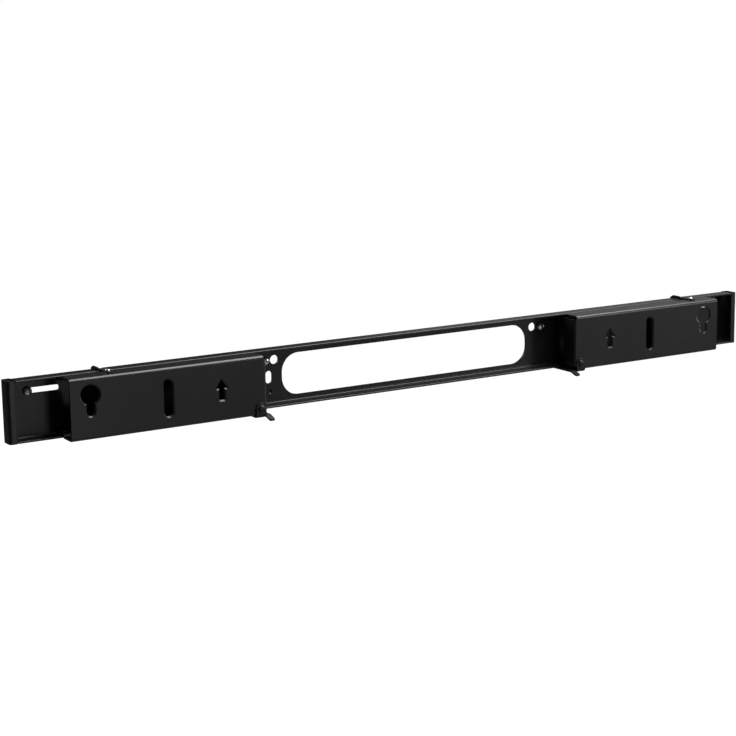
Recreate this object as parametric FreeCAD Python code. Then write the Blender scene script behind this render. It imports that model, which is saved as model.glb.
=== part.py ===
import FreeCAD, Part
import math
import os

# Wall bracket for a soundbar: a folded steel rail, and two folded boxes that hold the soundbar off the wall.
# Frame: X along the rail, +Y into the wall, +Z up. The origin is the middle of the rail's wall face.
# All sizes are in millimetres.

V = FreeCAD.Vector

# Sheet and edges
RAIL_SHEET = 2.0
BOX_SHEET = 2.0
CLIP_SHEET = 1.6
TAB_SHEET = 2.0
BEND_INSIDE = 1.2
EDGE_ROUND = 0.7
SLIDE_GAP = 0.4
HOOK_GAP = 0.4

# Rail
RAIL_LENGTH = 904.0
RAIL_HEIGHT = 60.0
RAIL_DEPTH = 17.0
END_LIP = 8.0
CORNER_GAP = 1.0

# Window in the rail
WINDOW_LENGTH = 308.0
WINDOW_HEIGHT = 43.5
WINDOW_DROP = 0.8
WINDOW_CORNER = 19.0

# Wall slots and holes in the rail
WALL_SLOT_BELOW_TOP = 13.7
OUTER_SLOT_FROM_END = 39.7
OUTER_SLOT_LENGTH = 35.0
OUTER_SLOT_WIDTH = 5.5
INNER_HOLE_FROM_WINDOW = 8.6
INNER_HOLE_D = 9.4
INNER_SCREW_FROM_HOLE = 10.8
INNER_SCREW_HOLE_D = 5.5
OVAL_FROM_WINDOW = 15.3
OVAL_Z = -1.2
OVAL_WIDTH = 7.6
OVAL_HEIGHT = 13.0
DIMPLE_FROM_WINDOW = 14.0
DIMPLE_Z = -16.3
DIMPLE_D = 5.0
DIMPLE_FLOOR_D = 2.4
DIMPLE_DEPTH = 1.3

# Boxes
BOX_LENGTH = 207.6
BOX_FROM_END = 52.0
BOX_STANDOFF = 23.8
BOX_STEP_GAP = 1.0
BOX_STEP_RUN = 2.2
BOX_TONGUE = 8.0
BOX_SIDE_RELIEF = 0.8

# Cut-outs in each front plate, measured from the box's outer end
BEVEL_WIDTH = 1.5
BEVEL_DEPTH = 1.1
KEYHOLE_FROM_END = 20.5
KEYHOLE_Z = 13.2
KEYHOLE_D = 19.0
KEYHOLE_NECK = 8.0
KEYHOLE_DROP = 16.5
SLOT_FROM_END = 100.5
SLOT_Z = 0.2
SLOT_WIDTH = 9.0
SLOT_HEIGHT = 36.0
ARROW_FROM_END = 158.0
ARROW_TIP_Z = 11.6
ARROW_LENGTH = 20.5
ARROW_HEAD = 9.0
ARROW_WIDTH = 12.0
ARROW_STEM = 5.4
ARROW_CORNER = 0.5

# Hook clips, measured from the box's outer end
LEFT_CLIP_FROM_END = 38.5
RIGHT_CLIP_FROM_END = 36.5
CLIP_BASE_WIDTH = 9.0
CLIP_REACH = 17.0
CLIP_ROOT_FROM_FRONT = 16.5
CLIP_ROOT_LENGTH = 5.3
CLIP_ROOT_RISE = 2.9
CLIP_CREST = 3.4
CLIP_CREST_START = 5.0
CLIP_CREST_END = 14.5
CLIP_BACK_RISE = 0.8
CLIP_BACK_GAP = 0.6
CLIP_CORNER = 1.5
TONGUE_GAP = 0.3
NOTCH_BEFORE = 1.5
NOTCH_LENGTH = 12.5
NOTCH_STRIP = 5.0
NOTCH_DEPTH = 3.0
RIVET_STEP = 4.8
RIVET_FROM_FRONT = 3.6
RIVET_SHANK_D = 3.0
RIVET_HEAD_D = 4.8
RIVET_HEAD_HEIGHT = 2.4
RIVET_CROWN_D = 3.4
RIVET_FOOT_HEIGHT = 1.2

# Locking tabs, measured from the box's inner side
EYE_FROM_SIDE = 7.6
EYE_ABOVE_EDGE = 7.6
EYE_D = 11.0
TAB_OVERHANG = 4.2
TAB_LIP_WIDTH = 5.9
TAB_LIP_REACH = 8.0
TAB_LIP_DROP = 3.2
TAB_LIP_ROOT = 2.0
TAB_CORNER = 1.6
NIB_WIDTH = 6.0
NIB_FROM_WALL = 5.0
NIB_HEIGHT = 3.6
NIB_SLOT_GAP = 0.4

# Locking screws and their nuts
LOCK_SHANK_D = 4.0
LOCK_HOLE_GAP = 0.4
LOCK_HEAD_D = 7.0
LOCK_HEAD_HEIGHT = 2.2
LOCK_CROWN_D = 5.4
LOCK_NUT_ACROSS = 7.0
LOCK_NUT_HEIGHT = 3.2
LOCK_END = 1.0

# Wall screws
WALL_SHANK_D = 5.0
WALL_HEAD_D = 8.8
WALL_HEAD_HEIGHT = 4.4
WALL_CROWN_D = 6.4
WALL_REACH = 6.0

# Places that several pieces share
TOP = RAIL_HEIGHT / 2
UNDER_TOP = TOP - RAIL_SHEET
TONGUE_TOP = UNDER_TOP - SLIDE_GAP
WALL_SLOT_Z = TOP - WALL_SLOT_BELOW_TOP
NOTCH_FLOOR = TOP - NOTCH_DEPTH
TAB_UNDER = -TOP - TAB_SHEET
EYE_Z = -TOP + EYE_ABOVE_EDGE
RAIL_FRONT_Y = -RAIL_DEPTH
BOX_FRONT_Y = RAIL_FRONT_Y - BOX_STANDOFF
TONGUE_END_Y = RAIL_FRONT_Y + BOX_TONGUE
NOTCH_FRONT_Y = RAIL_FRONT_Y + NOTCH_STRIP
CLIP_FRONT_Y = RAIL_FRONT_Y - CLIP_REACH
CLIP_ROOT_Y = CLIP_FRONT_Y + CLIP_ROOT_FROM_FRONT
RIVET_Y = CLIP_FRONT_Y + RIVET_FROM_FRONT
CLIP_TOP = TOP + CLIP_SHEET
EYE_REAR_Y = BOX_FRONT_Y
EYE_FRONT_Y = EYE_REAR_Y - TAB_SHEET
TAB_LIP_BEND_Y = BOX_FRONT_Y + TAB_LIP_ROOT
NIB_BACK_Y = -NIB_FROM_WALL
RAIL_END = RAIL_LENGTH / 2
WINDOW_END = WINDOW_LENGTH / 2
OUTER_SLOT_X = RAIL_END - OUTER_SLOT_FROM_END
INNER_HOLE_X = WINDOW_END + INNER_HOLE_FROM_WINDOW
INNER_SCREW_X = INNER_HOLE_X + INNER_SCREW_FROM_HOLE
OVAL_X = -WINDOW_END - OVAL_FROM_WINDOW
DIMPLE_X = -WINDOW_END - DIMPLE_FROM_WINDOW
BOX_OUTER_X = RAIL_END - BOX_FROM_END
BOX_INNER_X = BOX_OUTER_X - BOX_LENGTH
KEYHOLE_X = BOX_OUTER_X - KEYHOLE_FROM_END
SLOT_X = BOX_OUTER_X - SLOT_FROM_END
ARROW_X = BOX_OUTER_X - ARROW_FROM_END
CLIP_X = {"left": LEFT_CLIP_FROM_END - BOX_OUTER_X, "right": BOX_OUTER_X - RIGHT_CLIP_FROM_END}
EYE_X = BOX_INNER_X + EYE_FROM_SIDE
TAB_INNER_X = BOX_INNER_X - TAB_OVERHANG


def in_yz(x):
    return lambda a, b: V(x, a, b)


def in_xz(y):
    return lambda a, b: V(a, y, b)


def in_xy(z):
    return lambda a, b: V(a, b, z)


def rounded_wire(corners, place):
    """Closed wire through corners (a, b, radius), with a tangent arc at each corner that has a radius."""
    edges = []
    first = None
    last = None
    count = len(corners)
    for i in range(count):
        a, b, radius = corners[i]
        here = V(a, b, 0)
        back = V(*corners[i - 1][:2], 0) - here
        ahead = V(*corners[(i + 1) % count][:2], 0) - here
        back.normalize()
        ahead.normalize()
        if radius > 0:
            half = back.getAngle(ahead) / 2
            run = radius / math.tan(half)
            middle = back + ahead
            middle.normalize()
            centre = here + middle * (radius / math.sin(half))
            start = here + back * run
            end = here + ahead * run
            crown = centre - middle * radius
        else:
            start = here
            end = here
        if last is not None and last.distanceToPoint(start) > 1e-6:
            edges.append(Part.LineSegment(place(last.x, last.y), place(start.x, start.y)).toShape())
        if radius > 0:
            arc = Part.Arc(place(start.x, start.y), place(crown.x, crown.y), place(end.x, end.y))
            edges.append(arc.toShape())
        if first is None:
            first = start
        last = end
    if last.distanceToPoint(first) > 1e-6:
        edges.append(Part.LineSegment(place(last.x, last.y), place(first.x, first.y)).toShape())
    return Part.Wire(edges)


def shifted(points, distance, closed):
    """The same line of points moved sideways, to the left of its direction for a positive distance."""
    count = len(points)
    result = []
    for i in range(count):
        here = V(*points[i], 0)
        normals = []
        if closed or i > 0:
            step = here - V(*points[i - 1], 0)
            step.normalize()
            normals.append(V(-step.y, step.x, 0))
        if closed or i < count - 1:
            step = V(*points[(i + 1) % count], 0) - here
            step.normalize()
            normals.append(V(-step.y, step.x, 0))
        total = normals[0] + normals[-1]
        scale = distance * 2 / total.dot(total)
        moved = here + total * scale
        result.append((moved.x, moved.y))
    return result


def folded(points, sheet):
    """Corners of a folded sheet's section. points is its outer face, and the sheet lies to its left."""
    inner = shifted(points, sheet, False)
    outside = [(*points[0], EDGE_ROUND)]
    inside = [(*inner[0], EDGE_ROUND)]
    for i in range(1, len(points) - 1):
        before = V(*points[i], 0) - V(*points[i - 1], 0)
        after = V(*points[i + 1], 0) - V(*points[i], 0)
        to_left = before.cross(after).z > 0
        outside.append((*points[i], BEND_INSIDE + (sheet if to_left else 0)))
        inside.append((*inner[i], BEND_INSIDE + (0 if to_left else sheet)))
    outside.append((*points[-1], EDGE_ROUND))
    inside.append((*inner[-1], EDGE_ROUND))
    return outside + inside[::-1]


def prism(corners, place, direction):
    return Part.Face(rounded_wire(corners, place)).extrude(direction)


def block(x0, x1, y0, y1, z0, z1):
    return Part.makeBox(x1 - x0, y1 - y0, z1 - z0, V(x0, y0, z0))


def rod(x, z, diameter, y0, y1):
    """Round bar along Y."""
    return Part.makeCylinder(diameter / 2, y1 - y0, V(x, y0, z), V(0, 1, 0))


def oval_corners(x, z, width, height):
    radius = min(width, height) / 2 - 0.001
    return rectangle_corners(x, z, width, height, radius)


def rectangle_corners(x, z, width, height, radius):
    a = width / 2
    b = height / 2
    return [(x - a, z - b, radius), (x + a, z - b, radius), (x + a, z + b, radius), (x - a, z + b, radius)]


def mirrored(shape):
    return shape.mirror(V(0, 0, 0), V(1, 0, 0))


def single(shape):
    """One clean solid, without the seams that joining leaves."""
    return shape.removeSplitter().Solids[0]


# Wall rail: one folded sheet

def rail_channel():
    """Web and the long flanges. The flanges stop short of the end lips, which leaves the corners open."""
    half = RAIL_END - END_LIP - CORNER_GAP
    outer = [(RAIL_FRONT_Y, -TOP), (0, -TOP), (0, TOP), (RAIL_FRONT_Y, TOP)]
    return prism(folded(outer, RAIL_SHEET), in_yz(-half), V(2 * half, 0, 0))


def rail_end():
    """Right end: the web runs on into an end flange with a lip that turns back in."""
    root = RAIL_END - END_LIP - CORNER_GAP
    outer = [(RAIL_END - END_LIP, RAIL_FRONT_Y), (RAIL_END, RAIL_FRONT_Y), (RAIL_END, 0), (root, 0)]
    corners = folded(outer, RAIL_SHEET)
    corners = [(a, b, 0 if a == root else r) for a, b, r in corners]
    return prism(corners, in_xy(-TOP), V(0, 0, RAIL_HEIGHT))


def through_rail(corners):
    """Cutter through the rail's web."""
    return prism(corners, in_xz(-RAIL_SHEET - 1), V(0, RAIL_SHEET + 2, 0))


def dimple():
    """Cutter for the shallow pressed mark below the oval hole: a cone that narrows into the web."""
    front = V(DIMPLE_X, -RAIL_SHEET, DIMPLE_Z)
    return Part.makeCone(DIMPLE_D / 2, DIMPLE_FLOOR_D / 2, DIMPLE_DEPTH, front, V(0, 1, 0))


def tab_slot(side):
    """Slot in the bottom flange for the end of a locking tab."""
    half = NIB_WIDTH / 2 + NIB_SLOT_GAP
    front = NIB_BACK_Y - TAB_SHEET - BEND_INSIDE - NIB_SLOT_GAP
    middle = side * EYE_X
    return block(middle - half, middle + half, front, NIB_BACK_Y + NIB_SLOT_GAP, -TOP - 1, -TOP + 3)


def rail_cutters():
    window = rectangle_corners(0, -WINDOW_DROP, WINDOW_LENGTH, WINDOW_HEIGHT, WINDOW_CORNER)
    oval = oval_corners(OVAL_X, OVAL_Z, OVAL_WIDTH, OVAL_HEIGHT)
    cutters = [through_rail(window), through_rail(oval), dimple()]
    for side in (-1, 1):
        outer = oval_corners(side * OUTER_SLOT_X, WALL_SLOT_Z, OUTER_SLOT_LENGTH, OUTER_SLOT_WIDTH)
        cutters.append(through_rail(outer))
        cutters.append(rod(side * INNER_HOLE_X, WALL_SLOT_Z, INNER_HOLE_D, -RAIL_SHEET - 1, 1))
        cutters.append(rod(side * INNER_SCREW_X, WALL_SLOT_Z, INNER_SCREW_HOLE_D, -RAIL_SHEET - 1, 1))
        cutters.append(tab_slot(side))
    for x in CLIP_X.values():
        start = x - NOTCH_BEFORE
        cutters.append(block(start, start + NOTCH_LENGTH, NOTCH_FRONT_Y, 1, NOTCH_FLOOR, TOP + 1))
    return cutters


def wall_rail():
    right = rail_end()
    rail = rail_channel().fuse([right, mirrored(right)])
    return single(rail.cut(rail_cutters()))


# Hanger boxes: folded sheet, drawn at the right and mirrored for the left

def box_channel():
    """Front plate and flanges. The flanges step in, so that their rear edges lie inside the rail."""
    step_end = RAIL_FRONT_Y - BOX_STEP_GAP
    step_start = step_end - BOX_STEP_RUN
    outer = [
        (TONGUE_END_Y, TONGUE_TOP),
        (step_end, TONGUE_TOP),
        (step_start, TOP),
        (BOX_FRONT_Y, TOP),
        (BOX_FRONT_Y, -TOP),
        (step_start, -TOP),
        (step_end, -UNDER_TOP),
        (TONGUE_END_Y, -UNDER_TOP),
    ]
    start = BOX_INNER_X + BOX_SHEET + BEND_INSIDE
    return prism(folded(outer, BOX_SHEET), in_yz(start), V(BOX_OUTER_X - start, 0, 0))


def box_side():
    """Side wall beside the window, bent back from the front plate, with open corners above and below."""
    start = BOX_INNER_X + BOX_SHEET + BEND_INSIDE
    wall_end = RAIL_FRONT_Y - BOX_STEP_GAP - BOX_STEP_RUN
    outer = [(BOX_INNER_X, wall_end), (BOX_INNER_X, BOX_FRONT_Y), (start, BOX_FRONT_Y)]
    corners = folded(outer, BOX_SHEET)
    corners = [(a, b, 0 if abs(a - start) < 1e-6 else r) for a, b, r in corners]
    half = TOP - BOX_SHEET - BEND_INSIDE - BOX_SIDE_RELIEF
    return prism(corners, in_xy(-half), V(0, 0, 2 * half))


def keyhole_wire(grow, place):
    """Round head and a narrower neck below it. grow moves the whole outline outwards."""
    radius = KEYHOLE_D / 2 + grow
    neck = KEYHOLE_NECK / 2 + grow
    join_z = KEYHOLE_Z - math.sqrt(radius ** 2 - neck ** 2)
    foot_z = KEYHOLE_Z - KEYHOLE_DROP
    left_top = place(KEYHOLE_X - neck, join_z)
    right_top = place(KEYHOLE_X + neck, join_z)
    left_foot = place(KEYHOLE_X - neck, foot_z)
    right_foot = place(KEYHOLE_X + neck, foot_z)
    head = Part.Arc(right_top, place(KEYHOLE_X, KEYHOLE_Z + radius), left_top)
    foot = Part.Arc(left_foot, place(KEYHOLE_X, foot_z - neck), right_foot)
    left = Part.LineSegment(left_top, left_foot)
    right = Part.LineSegment(right_foot, right_top)
    return Part.Wire([head.toShape(), left.toShape(), foot.toShape(), right.toShape()])


def slot_wire(grow, place):
    corners = oval_corners(SLOT_X, SLOT_Z, SLOT_WIDTH + 2 * grow, SLOT_HEIGHT + 2 * grow)
    return rounded_wire(corners, place)


def arrow_wire(grow, place):
    """Arrow that points up, to show which way round the box goes."""
    head_z = ARROW_TIP_Z - ARROW_HEAD
    foot_z = ARROW_TIP_Z - ARROW_LENGTH
    wing = ARROW_WIDTH / 2
    stem = ARROW_STEM / 2
    points = [(stem, foot_z), (stem, head_z), (wing, head_z), (0, ARROW_TIP_Z)]
    points += [(-a, b) for a, b in points[2::-1]]
    points = [(ARROW_X + a, b) for a, b in points]
    grown = shifted(points, -grow, True)
    radii = [ARROW_CORNER + grow] * len(grown)
    radii[1] = 0
    radii[-2] = 0
    return rounded_wire([(a, b, r) for (a, b), r in zip(grown, radii)], place)


def bevelled_cutters(wire_of):
    """Cutters for one cut-out in the front plate: straight through, and the pressed bevel round its front edge."""
    through = Part.Face(wire_of(0, in_xz(BOX_FRONT_Y - 1))).extrude(V(0, BOX_SHEET + 2, 0))
    front = wire_of(BEVEL_WIDTH, in_xz(BOX_FRONT_Y))
    floor = wire_of(0, in_xz(BOX_FRONT_Y + BEVEL_DEPTH))
    return [through, Part.makeLoft([front, floor], True, True)]


def right_box_blank():
    box = box_channel().fuse(box_side())
    cutters = bevelled_cutters(keyhole_wire) + bevelled_cutters(slot_wire) + bevelled_cutters(arrow_wire)
    hole = LOCK_SHANK_D + LOCK_HOLE_GAP
    cutters.append(rod(EYE_X, EYE_Z, hole, BOX_FRONT_Y - 1, BOX_FRONT_Y + BOX_SHEET + 1))
    return box.cut(cutters)


def rivet_hole(side):
    """Cutter for the clip rivet's shank, through the clip and the box's top flange."""
    return Part.makeCylinder(RIVET_SHANK_D / 2, BOX_SHEET + CLIP_SHEET + 2,
                             V(CLIP_X[side] + RIVET_STEP, RIVET_Y, TOP - BOX_SHEET - 1))


def hanger_box(side):
    blank = right_box_blank()
    if side == "left":
        blank = mirrored(blank)
    return single(blank.cut(rivet_hole(side)))


# Hook clips: the base lies on the box's top, and the ear reaches over the rail's front strip into the notch

def hook_clip(side):
    x = CLIP_X[side]
    right = x + CLIP_BASE_WIDTH
    inner = x + CLIP_SHEET + BEND_INSIDE
    leg_top = TOP + CLIP_ROOT_RISE
    corners = folded([(x, leg_top), (x, TOP), (right, TOP)], CLIP_SHEET)
    corners = [(a, b, 0 if b == leg_top else r) for a, b, r in corners]
    root = prism(corners, in_xz(CLIP_ROOT_Y), V(0, CLIP_ROOT_LENGTH, 0))
    back = CLIP_ROOT_Y + CLIP_ROOT_LENGTH
    plan = [(inner, CLIP_FRONT_Y, CLIP_CORNER), (right, CLIP_FRONT_Y, CLIP_CORNER), (right, back, 0), (inner, back, 0)]
    base = prism(plan, in_xy(TOP), V(0, 0, CLIP_SHEET))
    ear = prism(ear_corners(), in_yz(x), V(CLIP_SHEET, 0, 0))
    return single(root.fuse([base, ear]).cut(rivet_hole(side)))


def ear_corners():
    """Side view of the ear: over the rail's front strip, down behind it, and back to rest on the notch."""
    back = -CLIP_BACK_GAP
    crest = TOP + CLIP_CREST
    leg_top = TOP + CLIP_ROOT_RISE
    bend_end = TOP + CLIP_SHEET + BEND_INSIDE
    root_back = CLIP_ROOT_Y + CLIP_ROOT_LENGTH
    nib_front = NOTCH_FRONT_Y + HOOK_GAP
    nib_under = TONGUE_TOP + TONGUE_GAP
    heel = TONGUE_END_Y + HOOK_GAP
    return [
        (CLIP_ROOT_Y, bend_end, 0),
        (root_back, bend_end, 0),
        (root_back, TOP, 0),
        (nib_front, TOP, 0),
        (nib_front, nib_under, 0),
        (heel, nib_under, 0),
        (heel, NOTCH_FLOOR, 0),
        (back, NOTCH_FLOOR, 0),
        (back, TOP + CLIP_BACK_RISE, 0),
        (-CLIP_CREST_START, crest, 1.5),
        (-CLIP_CREST_END, crest, 1.0),
        (CLIP_ROOT_Y, leg_top, 0),
    ]


def clip_rivet(side):
    """Button head on the clip, shank through clip and flange, and a flat foot below."""
    x = CLIP_X[side] + RIVET_STEP
    foot_top = TOP - BOX_SHEET
    head = button(RIVET_HEAD_D, RIVET_HEAD_HEIGHT, RIVET_CROWN_D)
    head.translate(V(x, RIVET_Y, CLIP_TOP))
    shank = Part.makeCylinder(RIVET_SHANK_D / 2, CLIP_TOP - foot_top, V(x, RIVET_Y, foot_top))
    foot = Part.makeCylinder(RIVET_HEAD_D / 2, RIVET_FOOT_HEIGHT, V(x, RIVET_Y, foot_top - RIVET_FOOT_HEIGHT))
    return single(head.fuse([shank, foot]))


def button(diameter, height, crown):
    """Low head on the plane Z=0, narrower at its top."""
    return Part.makeCone(diameter / 2, crown / 2, height)


# Locking tabs: drawn at the right and mirrored for the left

def tab_foot():
    """Flat strip under the box and the rail, with the lip that sticks out forward and down."""
    outer = [
        (NIB_BACK_Y - TAB_SHEET - BEND_INSIDE, TAB_UNDER),
        (TAB_LIP_BEND_Y, TAB_UNDER),
        (BOX_FRONT_Y - TAB_LIP_REACH, TAB_UNDER - TAB_LIP_DROP),
    ]
    section = [(a, b, r) for a, b, r in folded(outer[::-1], TAB_SHEET)]
    eye_side = EYE_X + EYE_D / 2
    wide = prism(section, in_yz(TAB_INNER_X), V(eye_side - TAB_INNER_X, 0, 0))
    lip_side = TAB_INNER_X + TAB_LIP_WIDTH
    front = BOX_FRONT_Y - TAB_LIP_REACH - 1
    back = NIB_BACK_Y - TAB_SHEET - BEND_INSIDE
    plan = [
        (TAB_INNER_X, front + 1, TAB_CORNER),
        (lip_side, front + 1, TAB_CORNER),
        (lip_side, TAB_LIP_BEND_Y + 1, 0),
        (eye_side, TAB_LIP_BEND_Y + 1, 0),
        (eye_side, back, TAB_CORNER),
        (TAB_INNER_X, back, TAB_CORNER),
    ]
    height = TAB_SHEET + TAB_LIP_DROP + 2
    return wide.common(prism(plan, in_xy(TAB_UNDER - TAB_LIP_DROP - 1), V(0, 0, height)))


def tab_eye():
    """Leg bent up in front of the box, with a round eye for the screw."""
    high = EYE_Z + EYE_D / 2
    outer = [(EYE_FRONT_Y, high), (EYE_FRONT_Y, TAB_UNDER), (TAB_LIP_BEND_Y + 1, TAB_UNDER)]
    corners = folded(outer, TAB_SHEET)
    corners = [(a, b, 0 if a == TAB_LIP_BEND_Y + 1 else r) for a, b, r in corners]
    left = EYE_X - EYE_D / 2
    leg = prism(corners, in_yz(left), V(EYE_D, 0, 0))
    round_end = EYE_D / 2 - 0.01
    low = TAB_UNDER - 1
    front_view = [
        (left, low, 0),
        (left + EYE_D, low, 0),
        (left + EYE_D, high, round_end),
        (left, high, round_end),
    ]
    depth = TAB_LIP_BEND_Y + 2 - EYE_FRONT_Y + 1
    shaped = leg.common(prism(front_view, in_xz(EYE_FRONT_Y - 1), V(0, depth, 0)))
    hole = LOCK_SHANK_D + LOCK_HOLE_GAP
    return shaped.cut(rod(EYE_X, EYE_Z, hole, EYE_FRONT_Y - 1, EYE_REAR_Y + 1))


def tab_nib():
    """Narrow end bent up through the slot in the rail's bottom flange."""
    start = NIB_BACK_Y - TAB_SHEET - BEND_INSIDE
    outer = [(start, TAB_UNDER), (NIB_BACK_Y, TAB_UNDER), (NIB_BACK_Y, -TOP + NIB_HEIGHT)]
    corners = folded(outer, TAB_SHEET)
    corners = [(a, b, 0 if a == start else r) for a, b, r in corners]
    return prism(corners, in_yz(EYE_X - NIB_WIDTH / 2), V(NIB_WIDTH, 0, 0))


def locking_tab(side):
    tab = single(tab_foot().fuse([tab_eye(), tab_nib()]))
    if side == "left":
        tab = mirrored(tab)
    return tab


# Screws and nuts

def facing_front(shape, x, y, z):
    """Turn a piece that stands on Z=0 so that it faces -Y, and put its seat at the given point."""
    shape.rotate(V(0, 0, 0), V(1, 0, 0), 90)
    shape.translate(V(x, y, z))
    return shape


def locking_screw(side):
    sign = -1 if side == "left" else 1
    head = button(LOCK_HEAD_D, LOCK_HEAD_HEIGHT, LOCK_CROWN_D)
    reach = TAB_SHEET + BOX_SHEET + LOCK_NUT_HEIGHT + LOCK_END
    shank = Part.makeCylinder(LOCK_SHANK_D / 2, reach, V(0, 0, -reach))
    return facing_front(single(head.fuse(shank)), sign * EYE_X, EYE_FRONT_Y, EYE_Z)


def locking_nut(side):
    sign = -1 if side == "left" else 1
    corner = LOCK_NUT_ACROSS / math.sqrt(3)
    turns = [math.radians(60 * i + 30) for i in range(6)]
    corners = [(corner * math.cos(t), corner * math.sin(t), 0) for t in turns]
    nut = prism(corners, in_xy(0), V(0, 0, LOCK_NUT_HEIGHT))
    nut = nut.cut(Part.makeCylinder(LOCK_SHANK_D / 2, LOCK_NUT_HEIGHT + 2, V(0, 0, -1)))
    seat = BOX_FRONT_Y + BOX_SHEET + LOCK_NUT_HEIGHT
    return facing_front(single(nut), sign * EYE_X, seat, EYE_Z)


def wall_screw(x):
    """Short round-head screw through a wall slot, into an anchor in the wall."""
    head = button(WALL_HEAD_D, WALL_HEAD_HEIGHT, WALL_CROWN_D)
    reach = RAIL_SHEET + WALL_REACH
    shank = Part.makeCylinder(WALL_SHANK_D / 2, reach, V(0, 0, -reach))
    return facing_front(single(head.fuse(shank)), x, -RAIL_SHEET, WALL_SLOT_Z)


def write(name, shape):
    shape.exportStep("parts/" + name + ".step")


def main():
    os.makedirs("parts", exist_ok=True)
    write("wall_rail", wall_rail())
    for side in ("left", "right"):
        write(side + "_hanger_box", hanger_box(side))
        write(side + "_hook_clip", hook_clip(side))
        write(side + "_clip_rivet", clip_rivet(side))
        write(side + "_locking_tab", locking_tab(side))
        write(side + "_locking_screw", locking_screw(side))
        write(side + "_locking_nut", locking_nut(side))
        sign = -1 if side == "left" else 1
        outer = OUTER_SLOT_X + (OUTER_SLOT_LENGTH - OUTER_SLOT_WIDTH) / 2
        write(side + "_outer_wall_screw", wall_screw(sign * outer))
        write(side + "_inner_wall_screw", wall_screw(sign * INNER_SCREW_X))


main()
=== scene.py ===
import bpy
import math
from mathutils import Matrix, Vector


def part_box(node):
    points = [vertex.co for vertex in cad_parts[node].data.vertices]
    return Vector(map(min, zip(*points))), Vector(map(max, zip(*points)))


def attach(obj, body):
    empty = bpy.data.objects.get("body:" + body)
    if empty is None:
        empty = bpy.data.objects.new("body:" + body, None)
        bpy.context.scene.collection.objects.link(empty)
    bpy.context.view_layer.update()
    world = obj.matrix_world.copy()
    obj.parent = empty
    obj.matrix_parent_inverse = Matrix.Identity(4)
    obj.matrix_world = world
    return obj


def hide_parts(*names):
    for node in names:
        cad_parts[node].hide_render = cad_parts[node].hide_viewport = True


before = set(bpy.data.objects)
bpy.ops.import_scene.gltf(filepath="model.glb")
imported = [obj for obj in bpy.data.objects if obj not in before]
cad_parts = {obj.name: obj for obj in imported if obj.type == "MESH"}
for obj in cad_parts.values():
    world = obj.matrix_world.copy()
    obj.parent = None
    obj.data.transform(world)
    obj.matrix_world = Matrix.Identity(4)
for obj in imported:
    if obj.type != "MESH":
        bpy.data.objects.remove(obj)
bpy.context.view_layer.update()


# Wall rail
# One long sheet of 2 mm steel, laser cut and folded into a shallow channel, then powder coated black.
# The coat is satin, with a fine orange peel, and a little smoother in some places than in others.

def linear(hex_colour):
    """sRGB hex to the linear colour that a shader takes."""
    values = [int(hex_colour[i:i + 2], 16) / 255 for i in (1, 3, 5)]
    return [v / 12.92 if v <= 0.04045 else ((v + 0.055) / 1.055) ** 2.4 for v in values] + [1.0]


def add_node(tree, kind, settings, inputs, links):
    """Add one node, set its properties and input values, and link its inputs to other nodes' outputs."""
    node = tree.nodes.new(kind)
    for name, value in settings.items():
        setattr(node, name, value)
    for name, value in inputs.items():
        node.inputs[name].default_value = value
    for name, (source, output) in links.items():
        tree.links.new(source.outputs[output], node.inputs[name])
    return node


def new_material(name):
    """An empty material, with its node tree and its shader."""
    material = bpy.data.materials.new(name)
    material.use_nodes = True
    return material, material.node_tree, material.node_tree.nodes["Principled BSDF"]


COAT_COLOURS = ("#0f0f10", "#141415")
COAT_ROUGHNESS = (0.31, 0.40)
PEEL_WIDTH = 0.0011
PEEL_DEPTH = 0.0001
PATCH_WIDTH = 0.055


def powder_coated_steel():
    """Black polyester powder on steel: a satin dielectric coat. Orange peel about 1 mm wide breaks up the shine."""
    material, tree, shader = new_material("black_powder_coat")
    place = add_node(tree, "ShaderNodeTexCoord", {}, {}, {})
    peel = add_node(tree, "ShaderNodeTexNoise", {}, {"Scale": 1 / PEEL_WIDTH, "Detail": 2.0, "Roughness": 0.5},
                    {"Vector": (place, "Object")})
    patches = add_node(tree, "ShaderNodeTexNoise", {}, {"Scale": 1 / PATCH_WIDTH, "Detail": 3.0, "Roughness": 0.55},
                       {"Vector": (place, "Object")})
    colour = add_node(tree, "ShaderNodeMix", {"data_type": "RGBA"}, {}, {"Factor": (patches, "Fac")})
    colour.inputs["A"].default_value = linear(COAT_COLOURS[0])
    colour.inputs["B"].default_value = linear(COAT_COLOURS[1])
    gloss = add_node(tree, "ShaderNodeMapRange", {}, {"To Min": COAT_ROUGHNESS[0], "To Max": COAT_ROUGHNESS[1]},
                     {"Value": (patches, "Fac")})
    bump = add_node(tree, "ShaderNodeBump", {}, {"Strength": 0.10, "Distance": PEEL_DEPTH},
                    {"Height": (peel, "Fac")})
    tree.links.new(colour.outputs["Result"], shader.inputs["Base Color"])
    tree.links.new(gloss.outputs["Result"], shader.inputs["Roughness"])
    tree.links.new(bump.outputs["Normal"], shader.inputs["Normal"])
    shader.inputs["IOR"].default_value = 1.5
    return material


coat = powder_coated_steel()


def coat_nodes(names, material):
    """Give CAD nodes a finish in all their slots."""
    for name in names:
        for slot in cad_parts[name].material_slots:
            slot.material = material


coat_nodes(["wall_rail"], coat)


# Hanger boxes
# Two boxes of the same coated sheet hold the soundbar off the wall. Each has a keyhole, an upright slot and
# an arrow in its front, with bevels pressed round them, and slides into the rail on stepped flanges.

coat_nodes(["left_hanger_box", "right_hanger_box"], coat)


# Hook clips and locking tabs
# Small folded clips that lie on the boxes' tops and hook into the rail's notches, and folded tabs that go
# under the boxes' lower inner corners and up in front of them, with a round eye for a screw. Their coat is
# duller than the sheet round them, and its deeper black is painted shade for the shade they sit in.

# Painted shade: these colours are darker than the sheet coat to stand for the shade the clips and tabs sit in.
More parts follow.
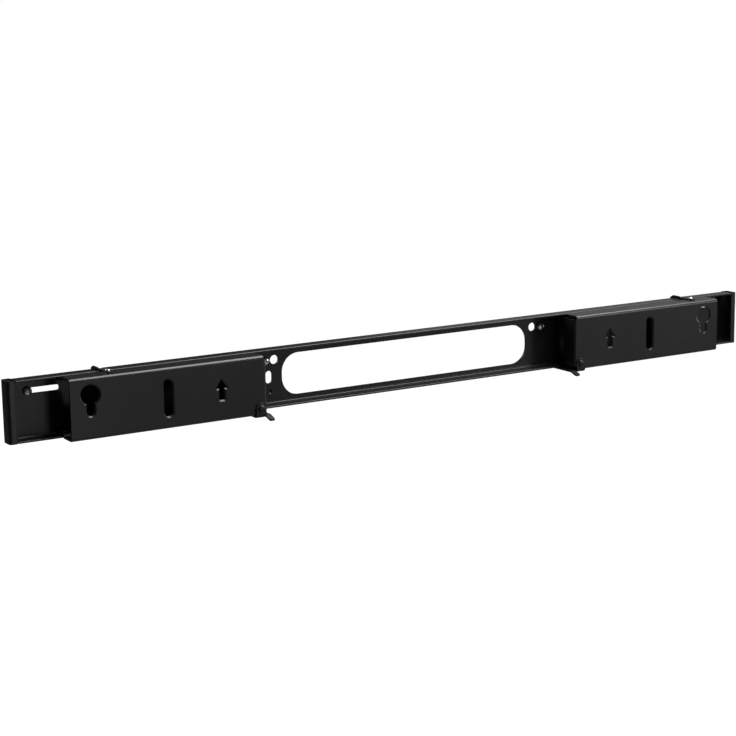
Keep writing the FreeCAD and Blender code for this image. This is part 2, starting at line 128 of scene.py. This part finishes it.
CLIP_SHADE_COLOURS = ("#060606", "#0b0b0c")
CLIP_ROUGHNESS = (0.50, 0.66)
CLIP_GRAIN = 0.0007
CLIP_GRAIN_DEPTH = 0.00005


def clip_coat_with_painted_shade():
    """Dull black coat on steel with a fine grain under 1 mm; its colour, darker than the sheet coat, is painted
    shade.
    """
    material, tree, shader = new_material("black_clip_coat_painted_shade")
    place = add_node(tree, "ShaderNodeTexCoord", {}, {}, {})
    grain = add_node(tree, "ShaderNodeTexNoise", {}, {"Scale": 1 / CLIP_GRAIN, "Detail": 3.0, "Roughness": 0.6},
                     {"Vector": (place, "Object")})
    colour = add_node(tree, "ShaderNodeMix", {"data_type": "RGBA"}, {}, {"Factor": (grain, "Fac")})
    colour.inputs["A"].default_value = linear(CLIP_SHADE_COLOURS[0])
    colour.inputs["B"].default_value = linear(CLIP_SHADE_COLOURS[1])
    gloss = add_node(tree, "ShaderNodeMapRange", {}, {"To Min": CLIP_ROUGHNESS[0], "To Max": CLIP_ROUGHNESS[1]},
                     {"Value": (grain, "Fac")})
    bump = add_node(tree, "ShaderNodeBump", {}, {"Strength": 0.15, "Distance": CLIP_GRAIN_DEPTH},
                    {"Height": (grain, "Fac")})
    tree.links.new(colour.outputs["Result"], shader.inputs["Base Color"])
    tree.links.new(gloss.outputs["Result"], shader.inputs["Roughness"])
    tree.links.new(bump.outputs["Normal"], shader.inputs["Normal"])
    shader.inputs["IOR"].default_value = 1.45
    return material


# The clips and tabs get the darker coat, whose colour is painted shade.
coat_nodes([side + part for side in ("left", "right") for part in ("_hook_clip", "_locking_tab")],
           clip_coat_with_painted_shade())


# Clip rivets
# One domed steel rivet through each hook clip and box top, flattened below. Bright zinc plate, which is
# silvery and slightly blue, with faint clouds from the bath.

RIVET_SHANK_R = 0.0015
RIVET_HEAD_R = 0.0024
RIVET_HEAD_HEIGHT = 0.0024
RIVET_FOOT_HEIGHT = 0.0012
RIVET_SEGMENTS = 40
SMOOTH_BELOW = math.radians(34)
ZINC_COLOURS = ("#c3c6ca", "#dcdee0")
ZINC_ROUGHNESS = (0.24, 0.36)
ZINC_CLOUD_WIDTH = 0.0016


def zinc_plated_steel():
    """Bright zinc on steel: a metal, fairly smooth, with clouds of about 1.5 mm in its colour and gloss."""
    material, tree, shader = new_material("zinc_plated_steel")
    place = add_node(tree, "ShaderNodeTexCoord", {}, {}, {})
    clouds = add_node(tree, "ShaderNodeTexNoise", {}, {"Scale": 1 / ZINC_CLOUD_WIDTH, "Detail": 3.0},
                      {"Vector": (place, "Object")})
    colour = add_node(tree, "ShaderNodeMix", {"data_type": "RGBA"}, {}, {"Factor": (clouds, "Fac")})
    colour.inputs["A"].default_value = linear(ZINC_COLOURS[0])
    colour.inputs["B"].default_value = linear(ZINC_COLOURS[1])
    gloss = add_node(tree, "ShaderNodeMapRange", {}, {"To Min": ZINC_ROUGHNESS[0], "To Max": ZINC_ROUGHNESS[1]},
                     {"Value": (clouds, "Fac")})
    tree.links.new(colour.outputs["Result"], shader.inputs["Base Color"])
    tree.links.new(gloss.outputs["Result"], shader.inputs["Roughness"])
    shader.inputs["Metallic"].default_value = 1.0
    return material


zinc = zinc_plated_steel()


def turned(name, rings, segments):
    """Round solid that stands on Z, drawn out ring by ring. Each ring is (height, radius)."""
    height, radius = rings[0]
    bpy.ops.object.select_all(action="DESELECT")
    bpy.ops.mesh.primitive_circle_add(vertices=segments, radius=radius, fill_type="NGON", location=(0, 0, height))
    piece = bpy.context.object
    piece.name = name
    bpy.ops.object.mode_set(mode="EDIT")
    bpy.ops.mesh.select_all(action="SELECT")
    for next_height, next_radius in rings[1:]:
        bpy.ops.mesh.extrude_region_move(TRANSFORM_OT_translate={"value": (0, 0, next_height - height)})
        bpy.ops.transform.resize(value=(next_radius / radius, next_radius / radius, 1))
        height, radius = next_height, next_radius
    bpy.ops.mesh.select_all(action="SELECT")
    bpy.ops.mesh.normals_make_consistent(inside=False)
    bpy.ops.object.mode_set(mode="OBJECT")
    bpy.ops.object.transform_apply(location=True, rotation=True, scale=True)
    return piece


def dome(seat, radius, height, steps):
    """Rings of a low domed head on the given seat: a short straight rim, then a rounded crown."""
    rim = height * 0.35
    rings = [(seat, radius * 0.96), (seat + height * 0.05, radius), (seat + rim, radius)]
    for i in range(1, steps + 1):
        turn = math.radians(90 * i / (steps + 0.6))
        rings.append((seat + rim + (height - rim) * math.sin(turn), radius * math.cos(turn)))
    rings[-1] = (seat + height, rings[-1][1])
    return rings


def smooth(piece):
    """Smooth shading, with a crease wherever two faces meet at more than 34 degrees."""
    bpy.ops.object.select_all(action="DESELECT")
    piece.select_set(True)
    bpy.context.view_layer.objects.active = piece
    bpy.ops.object.shade_smooth_by_angle(angle=SMOOTH_BELOW)


def placed(model, name, turn, location):
    """Copy of a model with its own mesh, turned and moved to its place, with the place kept in the mesh."""
    piece = model.copy()
    piece.data = model.data.copy()
    piece.name = name
    bpy.context.scene.collection.objects.link(piece)
    piece.rotation_euler = turn
    piece.location = location
    bpy.ops.object.select_all(action="DESELECT")
    piece.select_set(True)
    bpy.context.view_layer.objects.active = piece
    bpy.ops.object.transform_apply(location=True, rotation=True, scale=True)
    return piece


def stand_for(piece, node, material):
    """Give a piece its finish, and let it stand for a CAD node on the bracket's one body."""
    piece.data.materials.clear()
    piece.data.materials.append(material)
    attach(piece, "root")
    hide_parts(node)


low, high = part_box("left_clip_rivet")
rivet_height = high[2] - low[2]
rings = [(0, RIVET_HEAD_R * 0.8), (RIVET_FOOT_HEIGHT * 0.3, RIVET_HEAD_R), (RIVET_FOOT_HEIGHT, RIVET_HEAD_R),
         (RIVET_FOOT_HEIGHT, RIVET_SHANK_R), (rivet_height - RIVET_HEAD_HEIGHT, RIVET_SHANK_R)]
rings += dome(rivet_height - RIVET_HEAD_HEIGHT, RIVET_HEAD_R, RIVET_HEAD_HEIGHT, 7)
model = turned("rivet_model", rings, RIVET_SEGMENTS)
smooth(model)
for side in ("left", "right"):
    low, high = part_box(side + "_clip_rivet")
    foot = ((low[0] + high[0]) / 2, (low[1] + high[1]) / 2, low[2])
    rivet = placed(model, side + "_domed_rivet", (0, 0, 0), foot)
    stand_for(rivet, side + "_clip_rivet", zinc)
bpy.data.objects.remove(model)


# Wall screws
# Four short round-head screws of 5 mm, bright zinc: one at the far end of each outer wall slot, and one in the
# small hole beside each round inner hole. The heads are cold formed with a cross, and the threads are rolled.

WALL_SCREW_R = 0.0025
WALL_ROOT_R = 0.0021
WALL_PITCH = 0.0008
WALL_HEAD_R = 0.0044
WALL_HEAD_HEIGHT = 0.0044
WALL_REACH = 0.008
WALL_RECESS_SPAN = 0.0052
WALL_RECESS_WIDTH = 0.0011
WALL_RECESS_DEPTH = 0.0020
WALL_SEGMENTS = 48
WALL_TURNS = {"left_outer": 38, "left_inner": 12, "right_inner": 64, "right_outer": 25}
RECESS_TAPER = (0.45, 0.7, 1)


def thread(start, end, crest, root, pitch):
    """Rings of a thread from start up to end."""
    rings = []
    height = start
    while height < end - pitch:
        rings += [(height, root), (height + pitch * 0.4, crest), (height + pitch * 0.55, crest)]
        height += pitch
    return rings + [(height, root)]


def cross_recess(piece, top, span, width, depth):
    """Press a cross into a head whose top is at the given height. The blades narrow towards the floor."""
    for turn in (0, math.radians(90)):
        bpy.ops.object.select_all(action="DESELECT")
        bpy.ops.mesh.primitive_cube_add(size=1, location=(0, 0, top))
        blade = bpy.context.object
        bpy.ops.object.mode_set(mode="EDIT")
        bpy.ops.mesh.select_all(action="SELECT")
        bpy.ops.transform.resize(value=(span, width, 2 * depth))
        bpy.ops.object.mode_set(mode="OBJECT")
        for vertex in blade.data.vertices:
            vertex.select = vertex.co.z < 0
        for face in blade.data.polygons:
            face.select = face.normal.z < -0.5
        bpy.ops.object.mode_set(mode="EDIT")
        bpy.ops.transform.resize(value=RECESS_TAPER)
        bpy.ops.object.mode_set(mode="OBJECT")
        blade.rotation_euler = (0, 0, turn)
        bpy.ops.object.transform_apply(location=True, rotation=True, scale=True)
        cut = piece.modifiers.new("cut", "BOOLEAN")
        cut.operation = "DIFFERENCE"
        cut.solver = "EXACT"
        cut.object = blade
        bpy.context.view_layer.objects.active = piece
        bpy.ops.object.modifier_apply(modifier=cut.name)
        bpy.data.objects.remove(blade)


rings = [(-WALL_REACH, WALL_ROOT_R * 0.75)]
rings += thread(-WALL_REACH + 0.0004, -0.0006, WALL_SCREW_R, WALL_ROOT_R, WALL_PITCH)
rings += [(-0.0003, WALL_ROOT_R), (0, WALL_SCREW_R)]
rings += dome(0, WALL_HEAD_R, WALL_HEAD_HEIGHT, 9)
model = turned("wall_screw_model", rings, WALL_SEGMENTS)
cross_recess(model, WALL_HEAD_HEIGHT, WALL_RECESS_SPAN, WALL_RECESS_WIDTH, WALL_RECESS_DEPTH)
smooth(model)
for name, turn in WALL_TURNS.items():
    low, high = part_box(name + "_wall_screw")
    seat = ((low[0] + high[0]) / 2, low[1] + WALL_HEAD_HEIGHT, (low[2] + high[2]) / 2)
    screw = placed(model, name + "_round_head_screw", (math.radians(90), math.radians(turn), 0), seat)
    stand_for(screw, name + "_wall_screw", zinc)
bpy.data.objects.remove(model)


# Locking screws and nuts
# A low-headed 4 mm screw holds each locking tab to its box, chemically blackened, with a zinc-plated
# hexagon nut behind the plate.

LOCK_SCREW_R = 0.002
LOCK_ROOT_R = 0.0017
LOCK_PITCH = 0.0007
LOCK_HEAD_R = 0.0035
LOCK_HEAD_HEIGHT = 0.0022
LOCK_RECESS_SPAN = 0.0040
LOCK_RECESS_WIDTH = 0.0009
LOCK_RECESS_DEPTH = 0.0012
LOCK_SEGMENTS = 40
LOCK_TURNS = {"left": 30, "right": 71}
NUT_ACROSS = 0.007
NUT_HEIGHT = 0.0032
NUT_CHAMFER = 0.0005
NUT_SEGMENTS = 48
NUT_BORE_SPARE = 0.001
BLACKING_COLOURS = ("#333336", "#454548")
BLACKING_ROUGHNESS = (0.36, 0.50)
BLACKING_WIDTH = 0.0009


def blackened_steel():
    """Black oxide on steel: a dark metal, half matt, with fine cloudy patches where oil lies in it."""
    material, tree, shader = new_material("black_oxide_steel")
    place = add_node(tree, "ShaderNodeTexCoord", {}, {}, {})
    clouds = add_node(tree, "ShaderNodeTexNoise", {}, {"Scale": 1 / BLACKING_WIDTH, "Detail": 2.0},
                      {"Vector": (place, "Object")})
    colour = add_node(tree, "ShaderNodeMix", {"data_type": "RGBA"}, {}, {"Factor": (clouds, "Fac")})
    colour.inputs["A"].default_value = linear(BLACKING_COLOURS[0])
    colour.inputs["B"].default_value = linear(BLACKING_COLOURS[1])
    gloss = add_node(tree, "ShaderNodeMapRange", {},
                     {"To Min": BLACKING_ROUGHNESS[0], "To Max": BLACKING_ROUGHNESS[1]}, {"Value": (clouds, "Fac")})
    tree.links.new(colour.outputs["Result"], shader.inputs["Base Color"])
    tree.links.new(gloss.outputs["Result"], shader.inputs["Roughness"])
    shader.inputs["Metallic"].default_value = 1.0
    return material


blackened = blackened_steel()
low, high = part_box("left_locking_screw")
lock_reach = high[1] - low[1] - LOCK_HEAD_HEIGHT
rings = [(-lock_reach, LOCK_ROOT_R * 0.8)]
rings += thread(-lock_reach + 0.0003, -0.0005, LOCK_SCREW_R, LOCK_ROOT_R, LOCK_PITCH)
rings += [(-0.0002, LOCK_ROOT_R), (0, LOCK_SCREW_R)]
rings += dome(0, LOCK_HEAD_R, LOCK_HEAD_HEIGHT, 8)
model = turned("locking_screw_model", rings, LOCK_SEGMENTS)
cross_recess(model, LOCK_HEAD_HEIGHT, LOCK_RECESS_SPAN, LOCK_RECESS_WIDTH, LOCK_RECESS_DEPTH)
smooth(model)
for side, turn in LOCK_TURNS.items():
    low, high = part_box(side + "_locking_screw")
    seat = ((low[0] + high[0]) / 2, low[1] + LOCK_HEAD_HEIGHT, (low[2] + high[2]) / 2)
    screw = placed(model, side + "_low_head_screw", (math.radians(90), math.radians(turn), 0), seat)
    stand_for(screw, side + "_locking_screw", blackened)
bpy.data.objects.remove(model)

# The nut's hexagon is cut by a barrel with chamfered ends, and then bored.
barrel_r = NUT_ACROSS / math.sqrt(3)
face_r = NUT_ACROSS / 2 * 0.98
barrel = turned("nut_barrel", [(0, face_r), (NUT_CHAMFER, barrel_r), (NUT_HEIGHT - NUT_CHAMFER, barrel_r),
                               (NUT_HEIGHT, face_r)], NUT_SEGMENTS)
bore = turned("nut_bore", [(-NUT_BORE_SPARE, LOCK_SCREW_R), (NUT_HEIGHT + NUT_BORE_SPARE, LOCK_SCREW_R)],
              LOCK_SEGMENTS)
bpy.ops.object.select_all(action="DESELECT")
bpy.ops.mesh.primitive_cylinder_add(vertices=6, radius=barrel_r, depth=NUT_HEIGHT, location=(0, 0, NUT_HEIGHT / 2))
model = bpy.context.object
bpy.ops.object.transform_apply(location=True, rotation=True, scale=True)
for operation, other in (("INTERSECT", barrel), ("DIFFERENCE", bore)):
    shape = model.modifiers.new("shape", "BOOLEAN")
    shape.operation = operation
    shape.solver = "EXACT"
    shape.object = other
    bpy.context.view_layer.objects.active = model
    bpy.ops.object.modifier_apply(modifier=shape.name)
    bpy.data.objects.remove(other)
smooth(model)
for side in ("left", "right"):
    low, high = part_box(side + "_locking_nut")
    nut = placed(model, side + "_hexagon_nut", (math.radians(90), 0, 0),
                 ((low[0] + high[0]) / 2, high[1], (low[2] + high[2]) / 2))
    stand_for(nut, side + "_locking_nut", zinc)
bpy.data.objects.remove(model)


# Floor, light and camera
# A plain white floor well below the bracket, which hangs as on a wall. A large soft lamp hangs over it and makes
# the bends shine. Smaller ones at the front, the right and the rear light the plates, the edges and the tops.

FLOOR_SIZE = 40
FLOOR_Z = -0.9
FLOOR_COLOUR = "#8c8c8c"
AMBIENT = 0.03
CAMERA_PLACE = (-1.01883, -1.57993, 0.35702)
CAMERA_TURN = (78.924, 0.866, -31.691)
CAMERA_LENS_MM = 88.0
CAMERA_SENSOR_MM = 36

bpy.ops.object.select_all(action="DESELECT")
bpy.ops.mesh.primitive_plane_add(size=FLOOR_SIZE, location=(0, 0, FLOOR_Z))
floor = bpy.context.object
floor.name = "floor"
material, tree, shader = new_material("white_floor")
path = add_node(tree, "ShaderNodeLightPath", {}, {}, {})
shader.inputs["Base Color"].default_value = linear(FLOOR_COLOUR)
shader.inputs["Roughness"].default_value = 0.9
shader.inputs["Emission Color"].default_value = (1, 1, 1, 1)
tree.links.new(path.outputs["Is Camera Ray"], shader.inputs["Emission Strength"])
floor.data.materials.append(material)

world = bpy.data.worlds.new("studio")
bpy.context.scene.world = world
world.use_nodes = True
tree = world.node_tree
path = add_node(tree, "ShaderNodeLightPath", {}, {}, {})
strength = add_node(tree, "ShaderNodeMapRange", {}, {"To Min": AMBIENT, "To Max": 1.0},
                    {"Value": (path, "Is Camera Ray")})
background = tree.nodes["Background"]
background.inputs["Color"].default_value = (1, 1, 1, 1)
tree.links.new(strength.outputs["Result"], background.inputs["Strength"])


def soft_lamp(name, location, width, height, power):
    """Rectangular lamp that shines at the middle of the bracket."""
    data = bpy.data.lights.new(name, "AREA")
    data.shape = "RECTANGLE"
    data.size = width
    data.size_y = height
    data.energy = power
    lamp = bpy.data.objects.new(name, data)
    bpy.context.scene.collection.objects.link(lamp)
    lamp.location = location
    lamp.rotation_euler = Vector(location).to_track_quat("Z", "Y").to_euler()


soft_lamp("front_lamp", (3.0, -3.2, 0.8), 0.8, 0.8, 34)
soft_lamp("low_front_lamp", (2.2, -2.3, -0.05), 1.2, 0.6, 0.9)
soft_lamp("left_front_lamp", (0.12, -2.6, -0.35), 0.45, 0.45, 2.6)
soft_lamp("overhead_lamp", (0.75, -0.35, 1.7), 2.0, 1.4, 82)
soft_lamp("side_lamp", (2.5, 0.3, 0.0), 1.2, 0.8, 10)
soft_lamp("right_rear_lamp", (1.9, 2.0, 0.75), 1.2, 0.8, 1.2)
soft_lamp("left_rear_lamp", (-1.2, 2.2, 1.5), 1.4, 1.4, 26)

camera_data = bpy.data.cameras.new("camera")
camera_data.sensor_width = CAMERA_SENSOR_MM
camera_data.lens = CAMERA_LENS_MM
camera_data.clip_end = 100
camera = bpy.data.objects.new("camera", camera_data)
bpy.context.scene.collection.objects.link(camera)
camera.location = CAMERA_PLACE
camera.rotation_euler = [math.radians(turn) for turn in CAMERA_TURN]
bpy.context.scene.camera = camera
bpy.context.scene.view_settings.view_transform = "Standard"
